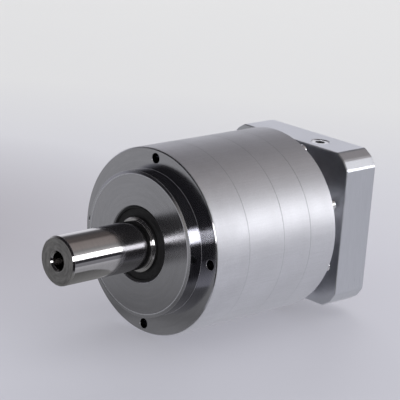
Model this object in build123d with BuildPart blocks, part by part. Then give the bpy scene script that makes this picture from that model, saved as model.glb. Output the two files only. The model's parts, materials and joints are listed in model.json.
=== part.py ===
from build123d import *
from math import acos, cos, floor, pi, radians, sin, tan
import os

# Two-stage planetary servo gearbox, 155 mm frame, ratio 20:1.
# The common axis of the gear train is Y. The output shaft points to -Y, the motor bolts on at the +Y end,
# and Z is up. The origin is the centre of the output flange's mounting face. All lengths are millimetres.

os.makedirs("parts", exist_ok=True)

# ---------------------------------------------------------------- driving dimensions
# Stations along the axis, from the flange face towards the motor
PILOT_LENGTH = 13.0
SHAFT_END = 98.0
SHAFT_FREE_LENGTH = 82.0
JOINT_A = 36.7
JOINT_B = 76.8
JOINT_C = 108.3
BODY_REAR = 139.3
PLATE_FRONT = 157.7
PLATE_REAR = 193.6

# Radii of the outside
BODY_R = 77.5
PILOT_R = 60.0
PILOT_LEAD_R = 57.4
PILOT_LEAD_LENGTH = 0.7
SHAFT_R = 20.0
SEAL_JOURNAL_R = 22.5
EDGE = 1.0
FINE_EDGE = 0.5
LIGHT_EDGE = 0.18

# Output flange and shaft end threads, both modelled at their tapping drill
FLANGE_PCD_R = 70.0
FLANGE_HOLE_COUNT = 4
FLANGE_HOLE_R = 4.25
FLANGE_HOLE_DEPTH = 20.0
CENTRE_HOLE_R = 7.0
CENTRE_HOLE_DEPTH = 36.0

# Motor side: square plate for a motor with a 110 mm pilot, a 145 mm bolt circle and a 24 mm shaft
PLATE_HALF = 67.5
PLATE_CORNER = (54.6, 62.3)
CAVITY_R = 38.0
MOTOR_PILOT_R = 55.0
MOTOR_PILOT_DEPTH = 7.0
MOTOR_PCD_R = 72.5
MOTOR_HOLE_R = 3.4
MOTOR_HOLE_DEPTH = 25.0
MOTOR_SHAFT_R = 12.0
NECK_R = 56.0

# Fits
FIT = 0.01
RUNNING = 0.03
GAP = 0.1
TOOTH_THINNING = 0.05

# Gear train: sun, planet and ring teeth of each stage, with the ring gears fixed
PRESSURE_ANGLE = radians(20)
DEDENDUM = 1.25
RING_RELIEF = 1.4
RING_RELIEF_START = 1.5
PLANET_COUNT = 3
OUTPUT_MODULE = 2.25
OUTPUT_TEETH = {"sun": 18, "planet": 18, "ring": 54}
INPUT_MODULE = 1.5
INPUT_TEETH = {"sun": 18, "planet": 27, "ring": 72}

# Output stage stations
OUTPUT_DISC = (38.5, 47.0)
OUTPUT_REAR_DISC = (70.5, 76.0)
OUTPUT_FACE = (48.5, 69.0)
OUTPUT_PIN_R = 8.0
OUTPUT_ROLLER_R = 2.0
OUTPUT_CARRIER_R = 56.0
OUTPUT_CARRIER_MOUTH_R = 25.0

# Input stage stations
INPUT_DISC = (78.0, 84.0)
INPUT_REAR_DISC = (101.5, 106.0)
INPUT_FACE = (85.5, 100.0)
INPUT_PIN_R = 6.0
INPUT_ROLLER_R = 1.5
INPUT_CARRIER_R = 50.0
INPUT_CARRIER_MOUTH_R = 17.5
CARRIER_BORE_R = 14.0
PIN_SINK = 1.5
SUN_SHANK_R = 10.0

# Output bearings, 55 x 80 x 13, apart by a pair of spacers
BEARING_BORE_R = 27.5
BEARING_OUTER_R = 40.0
BEARING_WIDTH = 13.0
BEARING_FRONT = 0.0
BEARING_REAR = 20.0
BEARING_BALL_R = 4.4
BEARING_BALLS = 16

# Input bearing, 50 x 80 x 16
INPUT_BORE_R = 25.0
INPUT_OUTER_R = 40.0
INPUT_BEARING = 117.0
INPUT_WIDTH = 16.0
INPUT_BALL_R = 4.8
INPUT_BALLS = 14

# Shaft seals, 45 x 62 x 8
SEAL_OUTER_R = 31.0
SEAL_WIDTH = 8.0
OUTPUT_SEAL = -PILOT_LENGTH + 0.4
INPUT_SEAL = 139.6

# Circlips
CLIP_THICKNESS = 1.7
CLIP_DEPTH = 2.0
CLIP_GAP_ANGLE = 26

# Screws, dowels and O-rings
TIE_SCREW_COUNT = 8
TIE_SCREW_R = 3.0
TIE_HEAD_R = 5.0
TIE_HEAD_HEIGHT = 6.0
TIE_SCREW_TIP = 20.0
DOWEL_R = 2.5
DOWEL_LENGTH = 12.0
PLATE_SCREW_PCD_R = 46.5
PLATE_SCREW_R = 4.0
PLATE_HEAD_R = 6.5
PLATE_HEAD_HEIGHT = 8.0
PLATE_SCREW_TIP = 125.0
PLATE_SEAT = 177.0
O_RING_WIDTH = 1.8
O_RING_HEIGHT = 1.3

# Clamp on the motor shaft and the plug over its screw
CLAMP = (164.0, 182.0)
CLAMP_MID = 173.0
CLAMP_R = 29.0
CLAMP_BORE_R = 15.5
HUB_END = 184.0
HUB_SLOT = 1.8
HUB_SLOT_START = 160.0
CLAMP_SLIT = 2.6
CLAMP_SCREW_X = 21.0
CLAMP_SCREW_R = 4.0
CLAMP_HEAD_R = 6.5
CLAMP_HEAD_TOP = 18.0
CLAMP_HEAD_BOTTOM = 10.0
CLAMP_SCREW_TIP = -14.0
PLUG_R = 8.0
PLUG_LENGTH = 10.0
PLUG_SOCKET = 8.0
PLUG_SOCKET_DEPTH = 6.0


# ---------------------------------------------------------------- helpers
def station(y):
    """The plane across the axis at this distance from the flange face, facing the output side."""
    return Plane.XZ.offset(-y)


def save(piece, name):
    """Label a finished piece and write its STEP file."""
    piece.part.label = name
    export_step(piece.part, f"parts/{name}.step")


def profile(*points):
    """A closed outline of (radius, station) points, ready to revolve about the axis."""
    with BuildSketch(Plane.XY) as half_section:
        with BuildLine():
            Polyline(*points, close=True)
        make_face()
    return half_section.sketch


def circles_of(piece, radius):
    """The round edges of this radius on a piece."""
    return piece.edges().filter_by(GeomType.CIRCLE).filter_by(lambda e: abs(e.radius - radius) < GAP)


def ring_section(inner, outer, front, rear):
    """The half section of a plain ring."""
    return profile((inner, front), (outer, front), (outer, rear), (inner, rear))


def edge_section(inner, outer, front, rear, edge):
    """The half section of a ring with its outer and inner edges broken on both faces."""
    return profile(
        (inner, front + edge), (inner + edge, front), (outer - edge, front), (outer, front + edge),
        (outer, rear - edge), (outer - edge, rear), (inner + edge, rear), (inner, rear - edge),
    )


def involute(angle):
    """The involute function."""
    return tan(angle) - angle


def polar(radius, angle):
    """A point of a flat outline at this radius and angle."""
    return (radius * cos(angle), radius * sin(angle))


def toothed_face(plane, teeth, module, low_r, high_r, phase, thinning):
    """A face with involute teeth between two radii, with a tooth centred at the angle phase.

    Thinning is taken off each flank. A negative one widens the teeth, as for the space inside a ring gear.
    """
    pitch_r = module * teeth / 2
    base_r = pitch_r * cos(PRESSURE_ANGLE)

    def half_angle(radius):
        flank = 0 if radius <= base_r else involute(acos(base_r / radius))
        return pi / (2 * teeth) - thinning / pitch_r + involute(PRESSURE_ANGLE) - flank

    start_r = max(low_r, base_r)
    mid_r = (start_r + high_r) / 2
    step = 2 * pi / teeth
    with BuildSketch(plane) as face:
        with BuildLine():
            for tooth in range(teeth):
                centre = phase + tooth * step
                for side in (-1, 1):
                    flank = [polar(r, centre + side * half_angle(r)) for r in (start_r, mid_r, high_r)]
                    ThreePointArc(*flank)
                    if start_r > low_r:
                        Line(polar(low_r, centre + side * half_angle(low_r)), flank[0])
                tip = half_angle(high_r)
                ThreePointArc(*(polar(high_r, centre + turn) for turn in (-tip, 0, tip)))
                root = half_angle(low_r)
                ThreePointArc(*(polar(low_r, centre + turn) for turn in (root, step / 2, step - root)))
        make_face()
    return face.sketch


def gear_face(plane, teeth, module, phase):
    """The face of an external gear."""
    pitch_r = module * teeth / 2
    low_r, high_r = pitch_r - DEDENDUM * module, pitch_r + module
    return toothed_face(plane, teeth, module, low_r, high_r, phase, TOOTH_THINNING)


def ring_space(plane, teeth, module, phase):
    """The toothed space inside a ring gear."""
    pitch_r = module * teeth / 2
    low_r, high_r = pitch_r - module, pitch_r + DEDENDUM * module
    return toothed_face(plane, teeth, module, low_r, high_r, phase, -TOOTH_THINNING)


def centre_distance(module, teeth):
    """From the axis to a planet's pin."""
    return module * (teeth["sun"] + teeth["planet"]) / 2


def planet_angle(index):
    """Where this planet stands round the axis. The first one is at the top."""
    return pi / 2 + 2 * pi * index / PLANET_COUNT


def planet_phase(index, teeth):
    """The turn of a planet that puts a gap of its own over each tooth of a sun with a tooth at angle 0."""
    at = planet_angle(index)
    return at + pi + (teeth["sun"] * at - pi) / teeth["planet"]


def ring_phase(teeth):
    """The turn of a ring gear that meshes with the first planet."""
    at = planet_angle(0)
    return at - teeth["planet"] * (at - planet_phase(0, teeth)) / teeth["ring"]


def planet_spots(radius):
    """Places for the planets' pins."""
    return PolarLocations(radius, PLANET_COUNT, start_angle=90)


def tie_spots():
    """Places for the tie screws, between the flange holes."""
    return PolarLocations(FLANGE_PCD_R, TIE_SCREW_COUNT, start_angle=180 / TIE_SCREW_COUNT)


def o_ring_groove(radius, front, rear):
    """The half section of an O-ring groove between two stations."""
    half = O_RING_WIDTH / 2 + GAP
    return ring_section(radius - half, radius + half, front, rear)


O_RINGS = (
    (65.0, JOINT_A - O_RING_HEIGHT),
    (65.2, JOINT_B),
    (61.5, JOINT_C),
    (CAVITY_R + 2.4, PLATE_FRONT - O_RING_HEIGHT),
)


# ---------------------------------------------------------------- casings
with BuildPart() as output_housing:
    revolve(
        profile(
            (SEAL_OUTER_R + EDGE, -PILOT_LENGTH), (PILOT_LEAD_R, -PILOT_LENGTH),
            (PILOT_R, -PILOT_LENGTH + PILOT_LEAD_LENGTH), (PILOT_R, 0), (BODY_R - EDGE, 0), (BODY_R, EDGE),
            (BODY_R, JOINT_A - LIGHT_EDGE), (BODY_R - LIGHT_EDGE, JOINT_A),
            (BEARING_OUTER_R, JOINT_A), (BEARING_OUTER_R, BEARING_FRONT),
            (SEAL_OUTER_R + CLIP_DEPTH, BEARING_FRONT),
            (SEAL_OUTER_R + CLIP_DEPTH, OUTPUT_SEAL + SEAL_WIDTH), (SEAL_OUTER_R, OUTPUT_SEAL + SEAL_WIDTH),
            (SEAL_OUTER_R, -PILOT_LENGTH + EDGE),
        ),
        axis=Axis.Y,
    )
    clip_front = BEARING_REAR + BEARING_WIDTH + GAP
    revolve(
        ring_section(
            BEARING_OUTER_R - EDGE, BEARING_OUTER_R + CLIP_DEPTH, clip_front, clip_front + CLIP_THICKNESS + GAP
        ),
        axis=Axis.Y, mode=Mode.SUBTRACT,
    )
    revolve(o_ring_groove(O_RINGS[0][0], O_RINGS[0][1], JOINT_A), axis=Axis.Y, mode=Mode.SUBTRACT)
    with BuildSketch(station(0)):
        with PolarLocations(FLANGE_PCD_R, FLANGE_HOLE_COUNT):
            Circle(FLANGE_HOLE_R)
    extrude(amount=-FLANGE_HOLE_DEPTH, mode=Mode.SUBTRACT)
    hole_edges = circles_of(output_housing, FLANGE_HOLE_R)
    chamfer(hole_edges.filter_by(lambda e: abs(e.center().Y) < GAP), length=LIGHT_EDGE)
    with BuildSketch(station(TIE_SCREW_TIP)):
        with tie_spots():
            Circle(TIE_SCREW_R)
    extrude(amount=TIE_SCREW_TIP - JOINT_A, mode=Mode.SUBTRACT)
    with BuildSketch(station(JOINT_A - DOWEL_LENGTH / 2)):
        with PolarLocations(FLANGE_PCD_R, 2, start_angle=45):
            Circle(DOWEL_R)
    extrude(amount=-DOWEL_LENGTH / 2, mode=Mode.SUBTRACT)
save(output_housing, "output_housing")


def ring_gear_section(front, rear, face, module, teeth, groove):
    """A slice of the housing with the ring gear cut inside it."""
    pitch_r = module * teeth["ring"] / 2
    relief_r = pitch_r + RING_RELIEF * module
    with BuildPart() as section:
        revolve(
            profile(
                (pitch_r - module, front), (BODY_R - LIGHT_EDGE, front), (BODY_R, front + LIGHT_EDGE),
                (BODY_R, rear - LIGHT_EDGE), (BODY_R - LIGHT_EDGE, rear), (pitch_r - module, rear),
            ),
            axis=Axis.Y,
        )
        space = ring_space(station(front), teeth["ring"], module, ring_phase(teeth))
        extrude(space, amount=front - rear, mode=Mode.SUBTRACT)
        for start, end in ((front, face[0] - RING_RELIEF_START), (face[1] + RING_RELIEF_START, rear)):
            revolve(ring_section(pitch_r - 2 * module, relief_r, start, end), axis=Axis.Y, mode=Mode.SUBTRACT)
        if groove:
            radius, start = groove
            revolve(o_ring_groove(radius, start, start + O_RING_HEIGHT), axis=Axis.Y, mode=Mode.SUBTRACT)
        with BuildSketch(station(front)):
            with tie_spots():
                Circle(TIE_SCREW_R + GAP)
            with PolarLocations(FLANGE_PCD_R, 2, start_angle=45):
                Circle(DOWEL_R)
        extrude(amount=front - rear, mode=Mode.SUBTRACT)
    return section


output_ring_gear = ring_gear_section(JOINT_A, JOINT_B, OUTPUT_FACE, OUTPUT_MODULE, OUTPUT_TEETH, None)
save(output_ring_gear, "output_ring_gear")
input_ring_gear = ring_gear_section(JOINT_B, JOINT_C, INPUT_FACE, INPUT_MODULE, INPUT_TEETH, O_RINGS[1])
save(input_ring_gear, "input_ring_gear")

RELIEF_R = 53.0
RELIEF_END = 113.0
SEAL_SHOULDER_R = 36.0
JOURNAL_STEP = 136.0
CAVITY_START = INPUT_SEAL + SEAL_WIDTH + FINE_EDGE
with BuildPart() as rear_housing:
    revolve(
        profile(
            (RELIEF_R, JOINT_C), (BODY_R - LIGHT_EDGE, JOINT_C), (BODY_R, JOINT_C + LIGHT_EDGE),
            (BODY_R, BODY_REAR - EDGE), (BODY_R - EDGE, BODY_REAR),
            (SEAL_SHOULDER_R, BODY_REAR), (SEAL_SHOULDER_R, INPUT_BEARING + INPUT_WIDTH),
            (INPUT_OUTER_R, INPUT_BEARING + INPUT_WIDTH), (INPUT_OUTER_R, RELIEF_END), (RELIEF_R, RELIEF_END),
        ),
        axis=Axis.Y,
    )
    input_clip_rear = INPUT_BEARING - GAP
    revolve(
        ring_section(
            INPUT_OUTER_R - EDGE, INPUT_OUTER_R + CLIP_DEPTH,
            input_clip_rear - CLIP_THICKNESS - GAP, input_clip_rear,
        ),
        axis=Axis.Y, mode=Mode.SUBTRACT,
    )
    revolve(o_ring_groove(O_RINGS[2][0], JOINT_C, JOINT_C + O_RING_HEIGHT), axis=Axis.Y, mode=Mode.SUBTRACT)
    with BuildSketch(station(JOINT_C)):
        with tie_spots():
            Circle(TIE_SCREW_R + GAP)
    extrude(amount=JOINT_C - BODY_REAR, mode=Mode.SUBTRACT)
    with BuildSketch(station(JOINT_C)):
        with PolarLocations(FLANGE_PCD_R, 2, start_angle=45):
            Circle(DOWEL_R)
    extrude(amount=-DOWEL_LENGTH / 2, mode=Mode.SUBTRACT)
    with BuildSketch(station(PLATE_SCREW_TIP)):
        with PolarLocations(PLATE_SCREW_PCD_R, FLANGE_HOLE_COUNT):
            Circle(PLATE_SCREW_R)
    extrude(amount=PLATE_SCREW_TIP - BODY_REAR, mode=Mode.SUBTRACT)
save(rear_housing, "rear_housing")

with BuildPart() as seal_carrier:
    revolve(
        profile(
            (SEAL_OUTER_R, BODY_REAR), (NECK_R, BODY_REAR), (NECK_R, PLATE_FRONT), (CAVITY_R, PLATE_FRONT),
            (CAVITY_R, CAVITY_START), (SEAL_OUTER_R, CAVITY_START),
        ),
        axis=Axis.Y,
    )
    revolve(o_ring_groove(O_RINGS[3][0], O_RINGS[3][1], PLATE_FRONT), axis=Axis.Y, mode=Mode.SUBTRACT)
    with BuildSketch(station(BODY_REAR)):
        with PolarLocations(PLATE_SCREW_PCD_R, FLANGE_HOLE_COUNT):
            Circle(PLATE_SCREW_R + GAP)
    extrude(amount=BODY_REAR - PLATE_FRONT, mode=Mode.SUBTRACT)
save(seal_carrier, "seal_carrier")

with BuildPart() as adapter_plate:
    near, far = PLATE_CORNER
    with BuildSketch(station(PLATE_FRONT)):
        with BuildLine():
            Polyline((0, PLATE_HALF), (near, PLATE_HALF), (far, far), (PLATE_HALF, near), (PLATE_HALF, 0))
            mirror(about=Plane.XZ)
            mirror(about=Plane.YZ)
        make_face()
        Circle(CAVITY_R, mode=Mode.SUBTRACT)
    extrude(amount=PLATE_FRONT - PLATE_REAR)
    chamfer(adapter_plate.edges().filter_by(Axis.Y), length=EDGE)
    outer_rim = adapter_plate.edges().filter_by(GeomType.LINE).filter_by(Axis.Y, reverse=True)
    chamfer(outer_rim, length=FINE_EDGE)
    with BuildSketch(station(PLATE_REAR)):
        Circle(MOTOR_PILOT_R)
    extrude(amount=MOTOR_PILOT_DEPTH, mode=Mode.SUBTRACT)
    with BuildSketch(station(PLATE_REAR)):
        with PolarLocations(MOTOR_PCD_R, FLANGE_HOLE_COUNT, start_angle=45):
            Circle(MOTOR_HOLE_R)
    extrude(amount=MOTOR_HOLE_DEPTH, mode=Mode.SUBTRACT)
    with BuildSketch(station(PLATE_FRONT)):
        with PolarLocations(PLATE_SCREW_PCD_R, FLANGE_HOLE_COUNT):
            Circle(PLATE_SCREW_R + GAP)
    extrude(amount=PLATE_FRONT - PLATE_REAR, mode=Mode.SUBTRACT)
    with BuildSketch(station(PLATE_REAR)):
        with PolarLocations(PLATE_SCREW_PCD_R, FLANGE_HOLE_COUNT):
            Circle(PLATE_HEAD_R + FINE_EDGE)
    extrude(amount=PLATE_REAR - PLATE_SEAT, mode=Mode.SUBTRACT)
    with BuildSketch(Plane.XY.offset(PLATE_HALF)):
        with Locations((CLAMP_SCREW_X, CLAMP_MID)):
            Circle(PLUG_R)
    extrude(amount=-PLATE_HALF + CAVITY_R / 2, mode=Mode.SUBTRACT)
    plug_mouth = circles_of(adapter_plate, PLUG_R)
    chamfer(plug_mouth.filter_by(lambda e: e.center().Z > PLATE_HALF - GAP), length=FINE_EDGE)
save(adapter_plate, "adapter_plate")


# ---------------------------------------------------------------- fasteners of the casing
def cap_screws(spots, head_plane, head_r, head_height, shank_r, length):
    """Socket-head cap screws standing on a seat plane, their heads on the side away from its normal."""
    socket_r = head_r / 2
    with BuildPart() as screws:
        with BuildSketch(head_plane):
            with spots:
                Circle(head_r)
        extrude(amount=-head_height)
        chamfer(screws.edges().filter_by(GeomType.CIRCLE).group_by(Axis.Y)[-1], length=head_r / 8)
        with BuildSketch(head_plane):
            with spots:
                Circle(shank_r - FIT)
        extrude(amount=length)
        with BuildSketch(head_plane.offset(-head_height)):
            with spots:
                RegularPolygon(socket_r, 6)
        extrude(amount=head_height / 2, mode=Mode.SUBTRACT)
    return screws


tie_screws = cap_screws(
    tie_spots(), station(BODY_REAR), TIE_HEAD_R, TIE_HEAD_HEIGHT, TIE_SCREW_R,
    BODY_REAR - TIE_SCREW_TIP - EDGE,
)
save(tie_screws, "tie_screws")
adapter_screws = cap_screws(
    PolarLocations(PLATE_SCREW_PCD_R, FLANGE_HOLE_COUNT), station(PLATE_SEAT),
    PLATE_HEAD_R, PLATE_HEAD_HEIGHT, PLATE_SCREW_R, PLATE_SEAT - PLATE_SCREW_TIP - EDGE,
)
save(adapter_screws, "adapter_screws")

with BuildPart() as dowel_pins:
    for joint in (JOINT_A, JOINT_B, JOINT_C):
        reach = DOWEL_LENGTH / 2 - GAP
        with BuildSketch(station(joint - reach)):
            with PolarLocations(FLANGE_PCD_R, 2, start_angle=45):
                Circle(DOWEL_R - FIT)
        extrude(amount=-2 * reach)
save(dowel_pins, "dowel_pins")

with BuildPart() as housing_o_rings:
    for radius, front in O_RINGS:
        half = O_RING_WIDTH / 2
        squeezed = edge_section(
            radius - half, radius + half, front + FIT, front + O_RING_HEIGHT - FIT, O_RING_HEIGHT / 3
        )
        revolve(squeezed, axis=Axis.Y)
save(housing_o_rings, "housing_o_rings")


# ---------------------------------------------------------------- bearings
CAGE_WIDTH = 2.5
CAGE_WALL = 0.32
RACE_SHOULDER = 0.55


def ball_bearing(name, front, width, bore_r, outer_r, ball_r, count):
    """A deep-groove ball bearing as four pieces: outer ring, inner ring, balls and cage."""
    pitch_r = (bore_r + outer_r) / 2
    middle = front + width / 2
    shoulder = ball_r * RACE_SHOULDER
    cage_half = ball_r * CAGE_WALL
    with BuildPart() as outer_ring:
        revolve(edge_section(pitch_r + shoulder, outer_r - FIT, front, front + width, FINE_EDGE), axis=Axis.Y)
        with BuildSketch(Plane.XY):
            with Locations((pitch_r, middle)):
                Circle(ball_r + RUNNING)
        revolve(axis=Axis.Y, mode=Mode.SUBTRACT)
    save(outer_ring, f"{name}_outer_ring")
    with BuildPart() as inner_ring:
        revolve(edge_section(bore_r, pitch_r - shoulder, front, front + width, FINE_EDGE), axis=Axis.Y)
        with BuildSketch(Plane.XY):
            with Locations((pitch_r, middle)):
                Circle(ball_r + RUNNING)
        revolve(axis=Axis.Y, mode=Mode.SUBTRACT)
    save(inner_ring, f"{name}_inner_ring")
    with BuildPart(station(middle)) as balls:
        with PolarLocations(pitch_r, count):
            Sphere(ball_r)
    save(balls, f"{name}_balls")
    with BuildPart(station(middle)) as cage:
        Cylinder(pitch_r + cage_half, CAGE_WIDTH * ball_r)
        Cylinder(pitch_r - cage_half, CAGE_WIDTH * ball_r, mode=Mode.SUBTRACT)
        with PolarLocations(pitch_r, count):
            Cylinder(ball_r + 2 * GAP, 4 * cage_half, rotation=(0, 90, 0), mode=Mode.SUBTRACT)
    save(cage, f"{name}_cage")


OUTPUT_BEARING_SIZE = (BEARING_WIDTH, BEARING_BORE_R, BEARING_OUTER_R, BEARING_BALL_R, BEARING_BALLS)
ball_bearing("front_bearing", BEARING_FRONT, *OUTPUT_BEARING_SIZE)
ball_bearing("rear_bearing", BEARING_REAR, *OUTPUT_BEARING_SIZE)
ball_bearing("input_bearing", INPUT_BEARING, INPUT_WIDTH, INPUT_BORE_R, INPUT_OUTER_R, INPUT_BALL_R, INPUT_BALLS)

SPACER_WALL = 3.5
SPACER = (BEARING_FRONT + BEARING_WIDTH + FIT, BEARING_REAR - FIT)
with BuildPart() as outer_spacer:
    revolve(ring_section(BEARING_OUTER_R - SPACER_WALL, BEARING_OUTER_R - FIT, *SPACER), axis=Axis.Y)
save(outer_spacer, "outer_spacer")
with BuildPart() as inner_spacer:
    revolve(ring_section(BEARING_BORE_R, BEARING_BORE_R + SPACER_WALL, *SPACER), axis=Axis.Y)
save(inner_spacer, "inner_spacer")


# ---------------------------------------------------------------- circlips
CLIP_LUG_R = 2.0
CLIP_LUG_SINK = 0.6
CLIP_EYE_R = 0.8


def circlip(inner, outer, front, in_bore):
    """A circlip with its opening at the top and a lug with an eye each side of it, for a bore or a shaft."""
    middle_r = inner + CLIP_LUG_SINK if in_bore else outer - CLIP_LUG_SINK
    lug_angles = [radians(90 + turn * CLIP_GAP_ANGLE / 2) for turn in (-1, 1)]
    with BuildPart() as clip:
        with BuildSketch(station(front)):
            Circle(outer)
            Circle(inner, mode=Mode.SUBTRACT)
            with BuildLine():
                Polyline((0, 0), *(polar(2 * outer, angle) for angle in lug_angles), close=True)
            make_face(mode=Mode.SUBTRACT)
            for angle in lug_angles:
                with Locations(polar(middle_r, angle)):
                    Circle(CLIP_LUG_R)
                    Circle(CLIP_EYE_R, mode=Mode.SUBTRACT)
        extrude(amount=-CLIP_THICKNESS)
    return clip


bore_clip = circlip(
    BEARING_OUTER_R - CLIP_DEPTH, BEARING_OUTER_R + CLIP_DEPTH - GAP, clip_front + GAP / 2, in_bore=True
)
save(bore_clip, "output_bore_circlip")
input_bore_clip = circlip(
    INPUT_OUTER_R - CLIP_DEPTH, INPUT_OUTER_R + CLIP_DEPTH - GAP, input_clip_rear - CLIP_THICKNESS - GAP / 2,
    in_bore=True,
)
save(input_bore_clip, "input_bore_circlip")


# ---------------------------------------------------------------- shaft seals
LIP_GAP = 0.04
LIP_THICKNESS = 0.9
LIP_BACK_R = 24.3
SEAL_WEB_R = 25.5
SEAL_SKIN = 0.6
SEAL_CASE_R = 28.8
SEAL_CUP_R = 26.9
SEAL_STEP = 1.1
SEAL_DISC = 3.0
SPRING_R = 0.9
SPRING_PITCH_R = 25.4
SPRING_SETBACK = 1.5


def spring_section(middle, radius):
    """The round half section of a garter spring or of its groove."""
    with BuildSketch(Plane.XY) as half_section:
        with Locations((SPRING_PITCH_R, middle)):
            Circle(radius)
    return half_section.sketch


def shaft_seal(name, front, outwards):
    """A rubber-covered shaft seal and its garter spring. Outwards is -1 when its face looks to the output."""
    back = front + SEAL_WIDTH
    face, inside = (front, back) if outwards < 0 else (back, front)
    lip_r = SEAL_JOURNAL_R + LIP_GAP
    dust_lip_r = SEAL_JOURNAL_R + LIP_THICKNESS
    spring_at = inside + outwards * SPRING_SETBACK
    with BuildPart() as seal:
        revolve(
            profile(
                (lip_r, face - outwards * EDGE), (dust_lip_r + FINE_EDGE, face - outwards * SEAL_SKIN),
                (SEAL_WEB_R, face - outwards * SEAL_STEP), (SEAL_CASE_R, face - outwards * SEAL_STEP),
                (SEAL_CASE_R + SEAL_SKIN, face), (SEAL_OUTER_R - SEAL_SKIN, face),
                (SEAL_OUTER_R - FIT, face - outwards * SEAL_SKIN), (SEAL_OUTER_R - FIT, inside),
                (SEAL_CASE_R, inside), (SEAL_CASE_R, face - outwards * SEAL_DISC),
                (SEAL_WEB_R, face - outwards * SEAL_DISC), (SEAL_CUP_R, inside + outwards * SEAL_STEP),
                (SEAL_CUP_R, inside + outwards * FINE_EDGE), (LIP_BACK_R, inside + outwards * FINE_EDGE),
                (lip_r, inside + outwards * (SPRING_SETBACK + LIP_THICKNESS)),
                (dust_lip_r + SEAL_SKIN, face - outwards * SEAL_DISC),
                (dust_lip_r, face - outwards * (EDGE + SEAL_SKIN)),
            ),
            axis=Axis.Y,
        )
        revolve(spring_section(spring_at, SPRING_R + FIT), axis=Axis.Y, mode=Mode.SUBTRACT)
    save(seal, f"{name}_seal")
    with BuildPart() as spring:
        revolve(spring_section(spring_at, SPRING_R), axis=Axis.Y)
    save(spring, f"{name}_seal_spring")


shaft_seal("output", OUTPUT_SEAL, -1)
shaft_seal("input", INPUT_SEAL, 1)


# ---------------------------------------------------------------- output shaft and its carrier
def carrier(front_disc, rear_disc, disc_r, inner_r, distance, pin_r, planet_clear_r):
    """Two discs joined by webs between the planets, bored for the planets' pins."""
    pin_depth = front_disc[0] + PIN_SINK
    with BuildPart() as body:
        with BuildSketch(station(front_disc[0])):
            Circle(disc_r)
        extrude(amount=front_disc[0] - front_disc[1])
        with BuildSketch(station(front_disc[1])):
            Circle(disc_r)
            Circle(inner_r, mode=Mode.SUBTRACT)
            with planet_spots(distance):
                Circle(planet_clear_r, mode=Mode.SUBTRACT)
        extrude(amount=front_disc[1] - rear_disc[0])
        with BuildSketch(station(rear_disc[0])):
            Circle(disc_r)
            Circle(inner_r, mode=Mode.SUBTRACT)
        extrude(amount=rear_disc[0] - rear_disc[1])
        with BuildSketch(station(pin_depth)):
            with planet_spots(distance):
                Circle(pin_r)
        extrude(amount=pin_depth - rear_disc[1], mode=Mode.SUBTRACT)
    return body


SHAFT_SHOULDER = -(SHAFT_END - SHAFT_FREE_LENGTH)
OUTPUT_DISTANCE = centre_distance(OUTPUT_MODULE, OUTPUT_TEETH)
OUTPUT_PLANET_TIP_R = OUTPUT_MODULE * (OUTPUT_TEETH["planet"] / 2 + 1)
HUB_R = 30.0
SUN_PAD_R = 12.0
SHAFT_CLIP_REAR = BEARING_FRONT - GAP / 2
SHAFT_CLIP_GROOVE = (
    BEARING_BORE_R - CLIP_DEPTH, SHAFT_CLIP_REAR - CLIP_THICKNESS - GAP, SHAFT_CLIP_REAR + GAP / 2
)
JOURNAL_FRONT = SHAFT_CLIP_GROOVE[1] - FINE_EDGE
SHAFT_CHAMFER = 1.5
COUNTERSINK = 1.4
COUNTERSINK_DEPTH = 1.7
SHAFT_TAIL_R = 24.0
carrier_blank = carrier(
    OUTPUT_DISC, OUTPUT_REAR_DISC, OUTPUT_CARRIER_R, OUTPUT_CARRIER_MOUTH_R, OUTPUT_DISTANCE, OUTPUT_PIN_R,
    OUTPUT_PLANET_TIP_R + EDGE,
)
with BuildPart() as output_carrier:
    add(carrier_blank.part)
    with BuildSketch(station(OUTPUT_DISC[0])):
        Circle(SHAFT_TAIL_R)
    extrude(amount=OUTPUT_DISC[0] - OUTPUT_DISC[1], mode=Mode.SUBTRACT)
save(output_carrier, "output_carrier")

with BuildPart() as output_shaft:
    revolve(
        profile(
            (0, -SHAFT_END), (SHAFT_R - SHAFT_CHAMFER, -SHAFT_END), (SHAFT_R, -SHAFT_END + SHAFT_CHAMFER),
            (SHAFT_R, SHAFT_SHOULDER), (SEAL_JOURNAL_R - EDGE, SHAFT_SHOULDER),
            (SEAL_JOURNAL_R, SHAFT_SHOULDER + EDGE), (SEAL_JOURNAL_R, JOURNAL_FRONT),
            (BEARING_BORE_R - FIT - FINE_EDGE, JOURNAL_FRONT), (BEARING_BORE_R - FIT, JOURNAL_FRONT + FINE_EDGE),
            (BEARING_BORE_R - FIT, BEARING_REAR + BEARING_WIDTH), (HUB_R, BEARING_REAR + BEARING_WIDTH),
            (HUB_R, OUTPUT_DISC[0]), (SHAFT_TAIL_R - FIT, OUTPUT_DISC[0]),
            (SHAFT_TAIL_R - FIT, OUTPUT_DISC[1]), (0, OUTPUT_DISC[1]),
        ),
        axis=Axis.Y,
    )
    revolve(
        ring_section(SHAFT_CLIP_GROOVE[0], HUB_R, SHAFT_CLIP_GROOVE[1], SHAFT_CLIP_GROOVE[2]),
        axis=Axis.Y, mode=Mode.SUBTRACT,
    )
    revolve(
        profile(
            (0, -SHAFT_END), (CENTRE_HOLE_R + COUNTERSINK, -SHAFT_END),
            (CENTRE_HOLE_R, -SHAFT_END + COUNTERSINK_DEPTH), (CENTRE_HOLE_R, -SHAFT_END + CENTRE_HOLE_DEPTH),
            (0, -SHAFT_END + CENTRE_HOLE_DEPTH + CENTRE_HOLE_R / 2),
        ),
        axis=Axis.Y, mode=Mode.SUBTRACT,
    )
save(output_shaft, "output_shaft")

shaft_clip = circlip(
    SHAFT_CLIP_GROOVE[0] + FIT, BEARING_BORE_R + CLIP_DEPTH / 2, SHAFT_CLIP_GROOVE[1] + GAP / 2, in_bore=False
)
save(shaft_clip, "output_shaft_circlip")

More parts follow.
